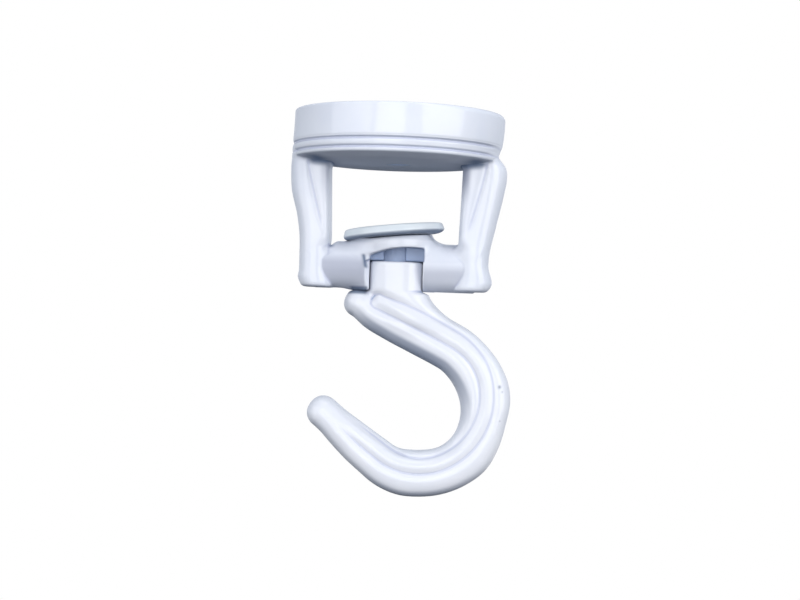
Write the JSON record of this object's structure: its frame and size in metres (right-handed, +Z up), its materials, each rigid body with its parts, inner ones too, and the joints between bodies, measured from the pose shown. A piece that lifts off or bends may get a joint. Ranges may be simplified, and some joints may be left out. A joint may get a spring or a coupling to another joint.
{
  "type": "swivel ceiling plant hook",
  "caption": "White cast ceiling hook: a round grooved plate and stirrup hold a ribbed S hook that swivels on a pin under a washer.",
  "frame": {"origin": "centre of the plate's ceiling face, at the mouth of the screw hole", "axes": "+Z up towards the ceiling along the swivel axis, +X to the side where the bend of the hook stands out, -Y to the open front of the swivel pocket"},
  "size_m": [0.0411, 0.038, 0.0689],
  "materials": {
    "white_enamel": "thick glossy white enamel on a zinc die casting",
    "plated_steel": "zinc plated steel, dull"
  },
  "bodies": {
    "stirrup_body": {"ceiling_plate": "white_enamel", "stirrup": "white_enamel"},
    "hook_body": {"hook": "white_enamel", "swivel_pin": "plated_steel"},
    "washer_body": {"swivel_washer": "white_enamel"}
  },
  "joints": [
    {"name": "hook_swivel", "type": "hinge", "parent": "stirrup_body", "child": "hook_body", "pos_m": [0, 0, -0.0235], "axis": [0, 0, 1], "continuous": true},
    {"name": "washer_spin", "type": "hinge", "parent": "stirrup_body", "child": "washer_body", "pos_m": [0, 0, -0.02104], "axis": [-0.1219, 0, 0.9925], "continuous": true}
  ]
}
